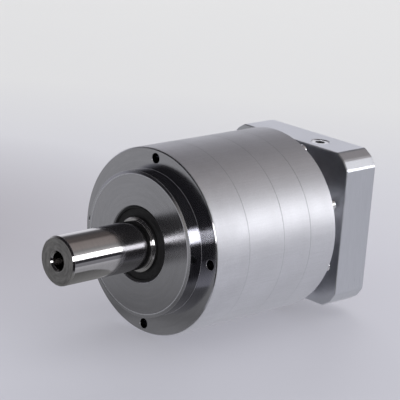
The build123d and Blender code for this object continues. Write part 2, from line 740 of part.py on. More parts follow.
with BuildPart() as sun_thrust_pad:
    revolve(ring_section(0, SUN_PAD_R, OUTPUT_DISC[1] + FIT, OUTPUT_FACE[0] + FINE_EDGE), axis=Axis.Y)
save(sun_thrust_pad, "sun_thrust_pad")


# ---------------------------------------------------------------- planets, their pins, rollers and washers
def planet_set(stage, module, teeth, face, discs, pin_r, roller_r):
    """The pins, thrust washers, planets and needle rollers of one stage."""
    distance = centre_distance(module, teeth)
    roller_pitch_r = pin_r + roller_r
    bore_r = pin_r + 2 * roller_r
    roller_count = floor(pi / (roller_r + RUNNING) * roller_pitch_r)
    washer_r = bore_r + 3 * FINE_EDGE
    with BuildPart() as pins:
        with BuildSketch(station(discs[0][0] + PIN_SINK + FIT)):
            with planet_spots(distance):
                Circle(pin_r - FIT)
        extrude(amount=discs[0][0] + PIN_SINK - discs[1][1] + FIT)
    save(pins, f"{stage}_planet_pins")
    with BuildPart() as washers:
        for start, end in ((discs[0][1] + FIT, face[0] - GAP), (face[1] + GAP, discs[1][0] - FIT)):
            with BuildSketch(station(start)):
                with planet_spots(distance):
                    Circle(washer_r)
                    Circle(pin_r, mode=Mode.SUBTRACT)
            extrude(amount=start - end)
    save(washers, f"{stage}_thrust_washers")
    for index in range(PLANET_COUNT):
        at = planet_angle(index)
        pin_centre = (distance * cos(at), face[0], distance * sin(at))
        pin_plane = Plane(origin=pin_centre, x_dir=(1, 0, 0), z_dir=(0, -1, 0))
        blank = gear_face(pin_plane, teeth["planet"], module, planet_phase(index, teeth))
        with BuildPart() as planet:
            extrude(blank, amount=face[0] - face[1])
            with BuildSketch(pin_plane):
                Circle(bore_r)
            extrude(amount=face[0] - face[1], mode=Mode.SUBTRACT)
        save(planet, f"{stage}_planet_{index + 1}")
        with BuildPart() as rollers:
            with BuildSketch(pin_plane.offset(-FINE_EDGE)):
                with PolarLocations(roller_pitch_r, roller_count):
                    Circle(roller_r - RUNNING)
            extrude(amount=face[0] - face[1] + 2 * FINE_EDGE)
        save(rollers, f"{stage}_rollers_{index + 1}")


planet_set(
    "output", OUTPUT_MODULE, OUTPUT_TEETH, OUTPUT_FACE, (OUTPUT_DISC, OUTPUT_REAR_DISC),
    OUTPUT_PIN_R, OUTPUT_ROLLER_R,
)
planet_set(
    "input", INPUT_MODULE, INPUT_TEETH, INPUT_FACE, (INPUT_DISC, INPUT_REAR_DISC), INPUT_PIN_R, INPUT_ROLLER_R
)


# ---------------------------------------------------------------- input carrier and the sun gears
INPUT_PLANET_TIP_R = INPUT_MODULE * (INPUT_TEETH["planet"] / 2 + 1)
carrier_blank = carrier(
    INPUT_DISC, INPUT_REAR_DISC, INPUT_CARRIER_R, INPUT_CARRIER_MOUTH_R,
    centre_distance(INPUT_MODULE, INPUT_TEETH), INPUT_PIN_R, INPUT_PLANET_TIP_R + EDGE,
)
with BuildPart() as input_carrier:
    add(carrier_blank.part)
    with BuildSketch(station(INPUT_DISC[0])):
        Circle(CARRIER_BORE_R)
    extrude(amount=INPUT_DISC[0] - INPUT_DISC[1], mode=Mode.SUBTRACT)
save(input_carrier, "input_carrier")

with BuildPart() as output_sun:
    extrude(
        gear_face(station(OUTPUT_FACE[0] + EDGE), OUTPUT_TEETH["sun"], OUTPUT_MODULE, 0),
        amount=OUTPUT_FACE[0] - OUTPUT_FACE[1],
    )
    revolve(ring_section(0, CARRIER_BORE_R - FIT, OUTPUT_FACE[1], INPUT_DISC[1]), axis=Axis.Y)
save(output_sun, "output_sun")

SUN_SEAT_END = 124.0
with BuildPart() as input_sun:
    extrude(
        gear_face(station(INPUT_FACE[0] - FINE_EDGE), INPUT_TEETH["sun"], INPUT_MODULE, 0),
        amount=INPUT_FACE[0] - INPUT_FACE[1] - EDGE,
    )
    revolve(
        profile(
            (0, INPUT_FACE[1]), (SUN_SHANK_R - FIT, INPUT_FACE[1]), (SUN_SHANK_R - FIT, SUN_SEAT_END - EDGE),
            (SUN_SHANK_R - EDGE, SUN_SEAT_END), (0, SUN_SEAT_END),
        ),
        axis=Axis.Y,
    )
save(input_sun, "input_sun")


# ---------------------------------------------------------------- input hub and clamp
HUB_FRONT = 110.0
HUB_SHOULDER_R = 29.0
BORE_START = 127.0
HUB_NECK = 150.0
HUB_CLIP_FRONT = INPUT_BEARING + INPUT_WIDTH + GAP / 2
HUB_CLIP_GROOVE = (INPUT_BORE_R - CLIP_DEPTH, HUB_CLIP_FRONT - GAP / 2, HUB_CLIP_FRONT + CLIP_THICKNESS + GAP)
with BuildPart() as input_hub:
    revolve(
        profile(
            (SUN_SHANK_R, HUB_FRONT), (HUB_SHOULDER_R, HUB_FRONT), (HUB_SHOULDER_R, INPUT_BEARING),
            (INPUT_BORE_R - FIT, INPUT_BEARING), (INPUT_BORE_R - FIT, JOURNAL_STEP),
            (SEAL_JOURNAL_R, JOURNAL_STEP), (SEAL_JOURNAL_R, HUB_NECK), (CLAMP_BORE_R - FIT, HUB_NECK),
            (CLAMP_BORE_R - FIT, HUB_END - FINE_EDGE), (CLAMP_BORE_R - FINE_EDGE, HUB_END),
            (MOTOR_SHAFT_R + EDGE, HUB_END), (MOTOR_SHAFT_R, HUB_END - EDGE), (MOTOR_SHAFT_R, BORE_START),
            (SUN_SHANK_R, BORE_START),
        ),
        axis=Axis.Y,
    )
    revolve(
        ring_section(HUB_CLIP_GROOVE[0], INPUT_BORE_R + EDGE, HUB_CLIP_GROOVE[1], HUB_CLIP_GROOVE[2]),
        axis=Axis.Y, mode=Mode.SUBTRACT,
    )
    with BuildSketch(station(HUB_END)):
        with PolarLocations(CLAMP_BORE_R, 4, start_angle=45):
            Rectangle(CLAMP_BORE_R, HUB_SLOT)
    extrude(amount=HUB_END - HUB_SLOT_START, mode=Mode.SUBTRACT)
save(input_hub, "input_hub")

hub_clip = circlip(HUB_CLIP_GROOVE[0] + FIT, INPUT_BORE_R + CLIP_DEPTH / 2, HUB_CLIP_FRONT, in_bore=False)
save(hub_clip, "hub_circlip")

with BuildPart() as clamp_collar:
    with BuildSketch(station(CLAMP[0])):
        Circle(CLAMP_R)
        Circle(CLAMP_BORE_R, mode=Mode.SUBTRACT)
        with Locations((CLAMP_R, 0)):
            Rectangle(CLAMP_R, CLAMP_SLIT, mode=Mode.SUBTRACT)
    extrude(amount=CLAMP[0] - CLAMP[1])
    chamfer(circles_of(clamp_collar, CLAMP_R), length=EDGE)
    with BuildSketch(Plane.XY.offset(CLAMP_HEAD_BOTTOM)):
        with Locations((CLAMP_SCREW_X, CLAMP_MID)):
            Circle(CLAMP_HEAD_R + FINE_EDGE)
    extrude(amount=CLAMP_R, mode=Mode.SUBTRACT)
    with BuildSketch(Plane.XY.offset(CLAMP_HEAD_BOTTOM)):
        with Locations((CLAMP_SCREW_X, CLAMP_MID)):
            Circle(CLAMP_SCREW_R)
    extrude(amount=CLAMP_SCREW_TIP - CLAMP_HEAD_BOTTOM, mode=Mode.SUBTRACT)
save(clamp_collar, "clamp_collar")

with BuildPart() as clamp_screw:
    with BuildSketch(Plane.XY.offset(CLAMP_HEAD_BOTTOM)):
        with Locations((CLAMP_SCREW_X, CLAMP_MID)):
            Circle(CLAMP_HEAD_R)
    extrude(amount=CLAMP_HEAD_TOP - CLAMP_HEAD_BOTTOM)
    chamfer(clamp_screw.edges().filter_by(GeomType.CIRCLE).group_by(Axis.Z)[-1], length=FINE_EDGE)
    with BuildSketch(Plane.XY.offset(CLAMP_HEAD_BOTTOM)):
        with Locations((CLAMP_SCREW_X, CLAMP_MID)):
            Circle(CLAMP_SCREW_R - FIT)
    extrude(amount=CLAMP_SCREW_TIP - CLAMP_HEAD_BOTTOM + EDGE)
    with BuildSketch(Plane.XY.offset(CLAMP_HEAD_TOP)):
        with Locations((CLAMP_SCREW_X, CLAMP_MID)):
            RegularPolygon(CLAMP_HEAD_R / 2, 6)
    extrude(amount=-(CLAMP_HEAD_TOP - CLAMP_HEAD_BOTTOM) / 2, mode=Mode.SUBTRACT)
save(clamp_screw, "clamp_screw")

with BuildPart() as access_plug:
    with BuildSketch(Plane.XY.offset(PLATE_HALF - PLUG_LENGTH)):
        with Locations((CLAMP_SCREW_X, CLAMP_MID)):
            Circle(PLUG_R - 2 * RUNNING)
    extrude(amount=PLUG_LENGTH - FINE_EDGE)
    chamfer(access_plug.edges().filter_by(GeomType.CIRCLE), length=FINE_EDGE)
    with BuildSketch(Plane.XY.offset(PLATE_HALF - FINE_EDGE)):
        with Locations((CLAMP_SCREW_X, CLAMP_MID)):
            RegularPolygon(PLUG_SOCKET / 2, 6, major_radius=False)
    extrude(amount=-PLUG_SOCKET_DEPTH, mode=Mode.SUBTRACT)
save(access_plug, "access_plug")
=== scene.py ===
import json
import math

import bmesh
import bpy
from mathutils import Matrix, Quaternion, Vector


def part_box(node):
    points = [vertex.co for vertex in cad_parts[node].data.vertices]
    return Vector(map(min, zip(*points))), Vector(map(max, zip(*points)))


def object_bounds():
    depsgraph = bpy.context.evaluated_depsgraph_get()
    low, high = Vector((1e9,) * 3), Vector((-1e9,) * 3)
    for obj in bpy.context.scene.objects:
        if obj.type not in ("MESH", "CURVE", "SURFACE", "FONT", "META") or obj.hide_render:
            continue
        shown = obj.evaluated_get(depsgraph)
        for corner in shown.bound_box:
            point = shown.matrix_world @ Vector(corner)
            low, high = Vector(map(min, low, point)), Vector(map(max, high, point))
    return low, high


# The looks of the planetary gearbox: materials, studio and camera.
# The gearbox lies along Y with its output shaft towards -Y. Lengths are metres and angles are degrees.
# Azimuth 0 is the output side and 90 is +X. A ramp is a row of (position, grey or colour) stops.

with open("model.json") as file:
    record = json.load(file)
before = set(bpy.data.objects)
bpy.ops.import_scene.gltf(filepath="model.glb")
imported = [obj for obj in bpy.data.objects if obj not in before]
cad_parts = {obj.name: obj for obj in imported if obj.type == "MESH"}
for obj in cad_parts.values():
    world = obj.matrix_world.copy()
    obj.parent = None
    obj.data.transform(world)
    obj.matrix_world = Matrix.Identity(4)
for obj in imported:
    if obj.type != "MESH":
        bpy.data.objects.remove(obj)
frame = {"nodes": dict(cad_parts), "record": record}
cad_low, cad_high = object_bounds()

# ---------------------------------------------------------------- sizes
MM = 0.001
MICRON = 0.000001
BODY_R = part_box("output_housing")[1].x
FLOOR_Z = -BODY_R
CENTRE = (cad_low + cad_high) / 2
VIEW_AZIMUTH = 44.39
VIEW_ELEVATION = 15.95
VIEW_ROLL = 4.6
VIEW_DISTANCE = 1.5816
LOOK_AT = Vector((0.0199, 0.0339, 0.0355))
LENS = 176.0
SENSOR_WIDTH = 36.0
FARTHEST_SEEN = 60.0

# ---------------------------------------------------------------- numbers shared by the materials
HALF = 0.5
BLACK = (0, 0, 0)
ACROSS_THE_MARKS = 0.25
NOISE_RANGE = ((0.3, 0.0), (0.7, 1.0))
GRAIN_RANGE = ((0.35, 0.0), (0.65, 1.0))
EDGE_COSINES = ((0.80, 1.0), (0.99, 0.0))
EDGE_RADIUS = 0.4 * MM
BEVEL_SAMPLES = 6


# ---------------------------------------------------------------- node helpers
class Shader:
    """A new material and short calls that add nodes to it."""

    def __init__(self, name):
        self.material = bpy.data.materials.new(name)
        self.material.use_nodes = True
        self.tree = self.material.node_tree
        self.bsdf = self.tree.nodes["Principled BSDF"]
        self.place = self.node("ShaderNodeTexCoord").outputs["Object"]
        self.rounded = None

    @classmethod
    def of_tree(cls, tree):
        """The same short calls on a node tree that is there already."""
        made = cls.__new__(cls)
        made.tree = tree
        made.generated = made.node("ShaderNodeTexCoord").outputs["Generated"]
        return made

    def node(self, kind, **settings):
        made = self.tree.nodes.new(kind)
        for key, value in settings.items():
            setattr(made, key, value)
        return made

    def link(self, source, target):
        """Joins a socket to a socket, or sets a plain value on it."""
        if isinstance(source, bpy.types.NodeSocket):
            self.tree.links.new(source, target)
        else:
            target.default_value = source

    def math(self, operation, first, second=0.0, third=0.0):
        made = self.node("ShaderNodeMath", operation=operation)
        for socket, value in zip(made.inputs, (first, second, third)):
            self.link(value, socket)
        return made.outputs[0]

    def times(self, first, second):
        return self.math("MULTIPLY", first, second)

    def plus(self, first, second):
        return self.math("ADD", first, second)

    def blend(self, first, second, share):
        """The sum of two values, of which the first counts for this share."""
        return self.plus(self.times(first, share), self.times(second, 1 - share))

    def vector_value(self, operation, first, second=None):
        """The single number that a vector operation gives."""
        made = self.node("ShaderNodeVectorMath", operation=operation)
        self.link(first, made.inputs[0])
        if second is not None:
            self.link(second, made.inputs[1])
        return made.outputs["Value"]

    def split(self, vector):
        made = self.node("ShaderNodeSeparateXYZ")
        self.link(vector, made.inputs[0])
        return made.outputs

    def join(self, x, y, z):
        made = self.node("ShaderNodeCombineXYZ")
        for socket, value in zip(made.inputs, (x, y, z)):
            self.link(value, socket)
        return made.outputs[0]

    def noise(self, vector, scale, detail, roughness):
        made = self.node("ShaderNodeTexNoise")
        self.link(vector, made.inputs["Vector"])
        made.inputs["Scale"].default_value = scale
        made.inputs["Detail"].default_value = detail
        made.inputs["Roughness"].default_value = roughness
        return made.outputs["Fac"]

    def ramp(self, value, stops):
        """Maps a value through (position, grey or colour) stops."""
        made = self.node("ShaderNodeValToRGB")
        self.link(value, made.inputs[0])
        elements = made.color_ramp.elements
        while len(elements) < len(stops):
            elements.new(HALF)
        for element, (position, colour) in zip(elements, stops):
            element.position = position
            element.color = (*colour, 1) if isinstance(colour, tuple) else (colour, colour, colour, 1)
        return made.outputs[0]

    def between(self, value, low, high):
        """Spreads a 0 to 1 value over a range."""
        made = self.node("ShaderNodeMapRange")
        self.link(value, made.inputs["Value"])
        made.inputs["To Min"].default_value = low
        made.inputs["To Max"].default_value = high
        return made.outputs[0]

    def mix(self, factor, first, second):
        """Mixes two colours."""
        made = self.node("ShaderNodeMix", data_type="RGBA")
        self.link(factor, made.inputs["Factor"])
        for socket, colour in (("A", first), ("B", second)):
            self.link((*colour, 1) if isinstance(colour, tuple) else colour, made.inputs[socket])
        return made.outputs["Result"]

    def mix_value(self, factor, first, second):
        """Mixes two numbers."""
        made = self.node("ShaderNodeMix", data_type="FLOAT")
        for socket, value in (("Factor", factor), ("A", first), ("B", second)):
            self.link(value, made.inputs[socket])
        return made.outputs["Result"]

    def bump(self, height, strength, distance):
        made = self.node("ShaderNodeBump")
        made.inputs["Strength"].default_value = strength
        made.inputs["Distance"].default_value = distance
        self.link(height, made.inputs["Height"])
        if self.rounded:
            self.link(self.rounded, made.inputs["Normal"])
        self.link(made.outputs[0], self.bsdf.inputs["Normal"])

    def edges(self, radius):
        """1 on edges and 0 on flat surface. The bump made later also rounds the edges by this radius."""
        bevel = self.node("ShaderNodeBevel", samples=BEVEL_SAMPLES)
        bevel.inputs["Radius"].default_value = radius
        self.rounded = bevel.outputs[0]
        flat = self.node("ShaderNodeNewGeometry").outputs["Normal"]
        return self.ramp(self.vector_value("DOT_PRODUCT", self.rounded, flat), EDGE_COSINES)

    def tangent_round_axis(self):
        """Lets the shine stretch with the marks of a lathe that turned the piece about Y."""
        tangent = self.node("ShaderNodeTangent", direction_type="RADIAL", axis="Y")
        self.link(tangent.outputs[0], self.bsdf.inputs["Tangent"])


def dimmed(colour, amount):
    """A colour with its brightness multiplied."""
    return tuple(min(1.0, channel * amount) for channel in colour)


# ---------------------------------------------------------------- materials
def turned_coordinates(shader):
    """Where a point lies on a part turned about an axis along Y.

    Gives a vector that changes fast across the tool marks and slowly along them, and the distance from
    the axis.
    """
    change_along = 0.004
    x, y, z = shader.split(shader.place)
    radius = shader.math("SQRT", shader.plus(shader.times(x, x), shader.times(z, z)))
    turn_x = shader.math("DIVIDE", x, radius)
    turn_z = shader.math("DIVIDE", z, radius)
    across = shader.plus(radius, y)
    return shader.join(across, shader.times(turn_x, change_along), shader.times(turn_z, change_along)), radius


def turned_metal(
    name, colour, roughness, marks, anisotropy, depth, stain=0.05, rim=None, dish=None, end=None, line=None
):
    """Metal turned or ground round the Y axis, with fine marks round it and edges painted brighter, partly as
    wear and partly as a painted highlight.

    A rim is (radius, colour, roughness) of a blasted satin finish outside that radius. A dish is
    (radius, slope) of a face turned slightly hollow outside that radius. An end is (y, shade) of an end face
    painted darker by that shade and made rougher, with faint rings. A line is the radius of a broken edge
    with a painted highlight all round it, and a duller face inside it.
    """
    wear_and_highlight, wear_and_highlight_brightness, wear_and_highlight_roughness, wear_and_highlight_metallic = 0.25, 1.3, 0.45, 0.35
    broad_marks = marks / 9
    stain_start, stain_full, stain_shade = 0.35, 0.7, 0.82
    shader = Shader(name)
    bsdf = shader.bsdf
    bsdf.inputs["Metallic"].default_value = 1.0
    bsdf.inputs["Anisotropic"].default_value = anisotropy
    bsdf.inputs["Anisotropic Rotation"].default_value = ACROSS_THE_MARKS
    shader.tangent_round_axis()
    vector, radius = turned_coordinates(shader)
    fine = shader.noise(vector, scale=marks, detail=3.0, roughness=0.7)
    broad = shader.noise(vector, scale=broad_marks, detail=2.0, roughness=0.6)
    cloud = shader.noise(shader.place, scale=28.0, detail=4.0, roughness=0.6)
    shade = shader.blend(fine, broad, share=0.6)
    dark_mark, light_mark = dimmed(colour, 1 - 2 * stain), dimmed(colour, 1 + stain)
    base = shader.mix(shader.ramp(shade, NOISE_RANGE), dark_mark, light_mark)
    rough = shader.between(shade, low=roughness * 0.8, high=roughness * 1.2)
    height = shade
    if rim:
        rim_radius, rim_colour, rim_roughness = rim
        outside = shader.math("GREATER_THAN", radius, rim_radius)
        satin, satin_rough, grain = satin_finish(shader, rim_colour, rim_roughness, shade)
        base = shader.mix(outside, base, satin)
        rough = shader.mix_value(outside, rough, satin_rough)
        satin_anisotropy, satin_relief = 0.15, 3.0
        shader.link(shader.mix_value(outside, anisotropy, satin_anisotropy), bsdf.inputs["Anisotropic"])
        height = shader.mix_value(outside, shade, shader.times(grain, satin_relief))
    if line:
        duller = 0.11
        rough = shader.plus(rough, shader.times(shader.math("LESS_THAN", radius, line), duller))
    if dish:
        dish_radius, slope = dish
        hollow = shader.times(shader.math("MAXIMUM", radius, dish_radius), slope / depth)
        height = shader.plus(height, hollow)
    stained = shader.ramp(cloud, ((stain_start, 0.0), (stain_full, stain * 3)))
    base = shader.mix(stained, base, dimmed(colour, stain_shade))
    if end:
        end_y, end_shade = end
        ring_contrast, end_roughness = 0.2, 0.12
        # The end face is painted darker and rougher, with faint rings.
        at_end = shader.math("LESS_THAN", shader.split(shader.place)[1], end_y)
        dark_ring = dimmed(colour, end_shade * (1 - ring_contrast))
        light_ring = dimmed(colour, end_shade * (1 + ring_contrast))
        base = shader.mix(at_end, base, shader.mix(shader.ramp(broad, GRAIN_RANGE), dark_ring, light_ring))
        rough = shader.plus(rough, shader.times(at_end, end_roughness))
    edge = shader.edges(EDGE_RADIUS)
    if rim:
        # Less of the painted edge highlight and wear on the satin rim.
        satin_wear_and_highlight = 0.25
        edge = shader.times(edge, shader.between(outside, low=1.0, high=satin_wear_and_highlight))
    if line:
        # A painted highlight ring along the broken edge at the line radius.
        line_millimetres = ((0.15, 0.8), (0.45, 0.0))
        off_line = shader.math("ABSOLUTE", shader.math("SUBTRACT", radius, line))
        painted_highlight_ring = shader.ramp(shader.times(off_line, 1 / MM), line_millimetres)
        edge = shader.math("MAXIMUM", edge, painted_highlight_ring)
    # Edges painted brighter and less metallic: partly wear, partly a painted highlight.
    base = shader.mix(shader.times(edge, wear_and_highlight), base, dimmed(colour, wear_and_highlight_brightness))
    rough = shader.plus(rough, shader.between(cloud, low=-0.02, high=0.03))
    shader.link(base, bsdf.inputs["Base Color"])
    shader.link(shader.mix_value(edge, rough, wear_and_highlight_roughness), bsdf.inputs["Roughness"])
    shader.link(shader.between(edge, low=1.0, high=wear_and_highlight_metallic), bsdf.inputs["Metallic"])
    shader.bump(height, strength=1.0, distance=depth)
    return shader.material


def satin_finish(shader, colour, roughness, shade):
    """The colour, roughness and grain of a blasted finish that was drawn lightly along Y."""
    drawn_stretch = 0.05
    x, y, z = shader.split(shader.place)
    blasted = shader.noise(shader.place, scale=1300.0, detail=4.0, roughness=0.7)
    along_y = shader.join(x, shader.times(y, drawn_stretch), z)
    drawn = shader.noise(along_y, scale=620.0, detail=3.0, roughness=0.6)
    grain = shader.blend(blasted, drawn, share=0.75)
    pit, peak, mark, mark_strength = 0.90, 1.06, 0.88, 0.2
    satin = shader.mix(shader.ramp(grain, GRAIN_RANGE), dimmed(colour, pit), dimmed(colour, peak))
    satin = shader.mix(shader.times(shade, mark_strength), satin, dimmed(colour, mark))
    rough = shader.between(grain, low=roughness * 0.9, high=roughness * 1.1)
    return satin, shader.plus(rough, shader.between(shade, low=-0.03, high=0.03)), grain


def plain_metal(name, colour, roughness):
    """Metal with a fine even grain, for small hardware and gears."""
    wear_and_highlight, wear_and_highlight_brightness, dull_brightness = 0.3, 1.4, 0.86
    dull_range = ((0.3, 0.0), (0.75, 1.0))
    shader = Shader(name)
    bsdf = shader.bsdf
    bsdf.inputs["Metallic"].default_value = 1.0
    grain = shader.noise(shader.place, scale=900.0, detail=3.0, roughness=0.6)
    cloud = shader.noise(shader.place, scale=90.0, detail=3.0, roughness=0.6)
    edge = shader.edges(EDGE_RADIUS)
    base = shader.mix(shader.ramp(cloud, dull_range), dimmed(colour, dull_brightness), colour)
    # Edges painted brighter: partly wear, partly a painted highlight.
    base = shader.mix(shader.times(edge, wear_and_highlight), base, dimmed(colour, wear_and_highlight_brightness))
    shader.link(base, bsdf.inputs["Base Color"])
    shader.link(shader.between(grain, low=roughness * 0.75, high=roughness * 1.3), bsdf.inputs["Roughness"])
    shader.bump(grain, strength=1.0, distance=4 * MICRON)
    return shader.material


def rubber(name):
    """Matt black nitrile rubber, faintly dusty."""
    clean, dusty = (0.006, 0.006, 0.007), (0.022, 0.022, 0.024)
    dust_range = ((0.45, 0.0), (0.8, 1.0))
    shader = Shader(name)
    bsdf = shader.bsdf
    bsdf.inputs["Specular IOR Level"].default_value = 0.35
    dust = shader.noise(shader.place, scale=420.0, detail=4.0, roughness=0.65)
    shader.link(shader.mix(shader.ramp(dust, dust_range), clean, dusty), bsdf.inputs["Base Color"])
    shader.link(shader.between(dust, low=0.42, high=0.68), bsdf.inputs["Roughness"])
    shader.bump(dust, strength=0.6, distance=20 * MICRON)
    return shader.material


def brushed_plate(name, colour, roughness):
    """Aluminium plate, brushed lengthways on its rim and clouded a little on its faces, with painted
    highlights along its edges.
    """
    streak, streak_shade = 0.03, 0.88
    edge_highlight_colour, edge_highlight_strength, edge_gloss = (0.97, 0.97, 0.98), 0.7, 0.7
    shader = Shader(name)
    bsdf = shader.bsdf
    bsdf.inputs["Metallic"].default_value = 1.0
    bsdf.inputs["Anisotropic"].default_value = 0.55
    shader.tangent_round_axis()
    x, y, z = shader.split(shader.place)
    lengthways = shader.join(shader.times(x, streak), y, shader.times(z, streak))
    lines = shader.noise(lengthways, scale=2600.0, detail=3.0, roughness=0.7)
    cloud = shader.noise(shader.place, scale=24.0, detail=4.0, roughness=0.6)
    base = shader.mix(shader.ramp(lines, NOISE_RANGE), dimmed(colour, streak_shade), colour)
    edge = shader.edges(0.9 * MM)
    # Painted highlight: the edges are painted near white.
    base = shader.mix(shader.times(edge, edge_highlight_strength), base, edge_highlight_colour)
    shader.link(base, bsdf.inputs["Base Color"])
    rough = shader.between(lines, low=roughness * 0.85, high=roughness * 1.2)
    rough = shader.plus(rough, shader.between(cloud, low=-0.03, high=0.04))
    shader.link(shader.times(rough, shader.between(edge, low=1.0, high=edge_gloss)), bsdf.inputs["Roughness"])
    shader.bump(lines, strength=1.0, distance=3 * MICRON)
    return shader.material


SATIN = (BODY_R - 0.4 * MM, (0.76, 0.765, 0.81), 0.53)
FACE_DISH = (60.5 * MM, 0.085)
LEAD_IN_R = 57.4 * MM
SHAFT_FACE = (cad_low.y + 0.3 * MM, 0.5)
MATERIALS = {
    "housing_steel": turned_metal(
        "housing_steel", (0.48, 0.48, 0.515), roughness=0.12, marks=3000.0, anisotropy=0.7, depth=MICRON,
        stain=0.07, rim=SATIN, dish=FACE_DISH, line=LEAD_IN_R,
    ),
    "ground_steel": turned_metal(
        "ground_steel", (0.47, 0.46, 0.465), roughness=0.09, marks=4200.0, anisotropy=0.6, depth=MICRON,
        end=SHAFT_FACE,
    ),
    "satin_casing": turned_metal(
        "satin_casing", (0.60, 0.60, 0.62), roughness=0.30, marks=2400.0, anisotropy=0.3, depth=MICRON,
        rim=SATIN,
    ),
    "aluminium_plate": brushed_plate("aluminium_plate", (0.65, 0.665, 0.715), roughness=0.29),
    "bright_screws": plain_metal("bright_screws", (0.74, 0.74, 0.76), roughness=0.24),
    "black_screws": plain_metal("black_screws", (0.045, 0.045, 0.05), roughness=0.42),
    "seal_rubber": rubber("seal_rubber"),
    "spring_steel": plain_metal("spring_steel", (0.26, 0.26, 0.28), roughness=0.34),
    "bearing_steel": turned_metal(
        "bearing_steel", (0.66, 0.66, 0.68), roughness=0.12, marks=3200.0, anisotropy=0.3, depth=2 * MICRON,
    ),
    "cage_brass": turned_metal(
        "cage_brass", (0.72, 0.50, 0.22), roughness=0.28, marks=1800.0, anisotropy=0.3, depth=6 * MICRON,
    ),
    "gear_steel": plain_metal("gear_steel", (0.46, 0.46, 0.48), roughness=0.28),
    "machined_steel": turned_metal(
        "machined_steel", (0.50, 0.50, 0.52), roughness=0.26, marks=1500.0, anisotropy=0.4, depth=8 * MICRON,
    ),
}
slot_of = {part["node"]: part["material_slot"] for part in frame["record"]["subparts"]}
for node, piece in frame["nodes"].items():
    for slot in piece.material_slots:
        slot.material = MATERIALS[slot_of[node]]


# ---------------------------------------------------------------- studio
def aim(thing, place, target):
    """Puts a camera or light at a place, looking at a target."""
    thing.location = place
    thing.rotation_mode = "QUATERNION"
    thing.rotation_quaternion = (target - place).to_track_quat("-Z", "Y")


def direction(azimuth, elevation):
    """A unit vector towards an azimuth and elevation."""
    a, e = math.radians(azimuth), math.radians(elevation)
    return Vector((math.sin(a) * math.cos(e), -math.cos(a) * math.cos(e), math.sin(e)))


def softbox(name, azimuth, elevation, distance, width, height, power, seen=True):
    """A flat soft white light facing the gearbox. Seen says whether metal mirrors it."""
    data = bpy.data.lights.new(name, "AREA")
    data.shape = "RECTANGLE"
    data.size, data.size_y = width, height
    data.energy = power
    lamp = bpy.data.objects.new(name, data)
    bpy.context.scene.collection.objects.link(lamp)
    aim(lamp, CENTRE + distance * direction(azimuth, elevation), CENTRE)
    lamp.visible_glossy = seen


FLOOR_RADIUS = 9.0
FLOOR_CORNERS = 96
# Painted light falloff on the floor: darker and cooler near the camera, lighter far away.
FLOOR_PAINTED_FALLOFF = (
    (0.14, (0.51, 0.51, 0.565)), (0.35, (0.53, 0.525, 0.58)), (0.50, (0.58, 0.58, 0.62)),
    (0.68, (0.665, 0.665, 0.67)), (1.0, (0.68, 0.68, 0.68)),
)
TONES_PER_METRE = 0.5
TONE_AT_CENTRE = 0.25
FLOOR_GRAIN = (0.06, (0.45, 0.45, 0.48))
# A painted soft shadow on the floor beside the gearbox.
PAINTED_SHADOW_PLACE = (-0.36, -0.02, 0.0)
PAINTED_SHADOW_DISTANCES = ((0.04, 0.75), (0.34, 0.0))
PAINTED_SHADOW_COLOUR = (0.34, 0.325, 0.355)
FLOOR_GLOW = 0.52
FLOOR_DARKENING = 0.55


def make_floor():
    """A wide pale table top under the gearbox.

    It is painted lighter towards the back, as painted light falloff, and carries a painted soft shadow beside
    the shaft. It glows faintly, so that shadows stay soft.
    """
    mesh = bpy.data.meshes.new("floor")
    build = bmesh.new()
    bmesh.ops.create_circle(build, cap_ends=True, radius=FLOOR_RADIUS, segments=FLOOR_CORNERS)
    build.to_mesh(mesh)
    build.free()
    floor = bpy.data.objects.new("floor", mesh)
    floor.location = (CENTRE.x, CENTRE.y, FLOOR_Z)
    bpy.context.scene.collection.objects.link(floor)
    shader = Shader("floor")
    away = shader.vector_value("DOT_PRODUCT", shader.place, -direction(VIEW_AZIMUTH, 0))
    # Painted light falloff: the floor colour grows lighter away from the camera.
    tone = shader.ramp(shader.math("MULTIPLY_ADD", away, TONES_PER_METRE, TONE_AT_CENTRE), FLOOR_PAINTED_FALLOFF)
    grain = shader.noise(shader.place, scale=3.0, detail=3.0, roughness=0.5)
    grain_strength, grain_colour = FLOOR_GRAIN
    tone = shader.mix(shader.times(grain, grain_strength), tone, grain_colour)
    # Painted soft shadow: the floor colour is darkened round one place.
    from_painted_shadow = shader.vector_value("DISTANCE", shader.place, PAINTED_SHADOW_PLACE)
    tone = shader.mix(shader.ramp(from_painted_shadow, PAINTED_SHADOW_DISTANCES), tone, PAINTED_SHADOW_COLOUR)
    shader.link(shader.mix(FLOOR_DARKENING, tone, BLACK), shader.bsdf.inputs["Base Color"])
    shader.link(tone, shader.bsdf.inputs["Emission Color"])
    shader.bsdf.inputs["Emission Strength"].default_value = FLOOR_GLOW
    shader.bsdf.inputs["Roughness"].default_value = 0.55
    shader.bsdf.inputs["Specular IOR Level"].default_value = 0.25
    mesh.materials.append(shader.material)
    floor.visible_glossy = False


SHADE_RIGHT = 0.08
SHADE_LEFT = -0.04
SHADE_BACK = 0.09
SHADE_REACH = -0.9
SHADE_LIFT = 0.001
SHADE_TONES = ((0.03, 0.27), (0.07, 0.18), (0.14, 0.27), (0.30, 0.42), (0.60, 0.47))


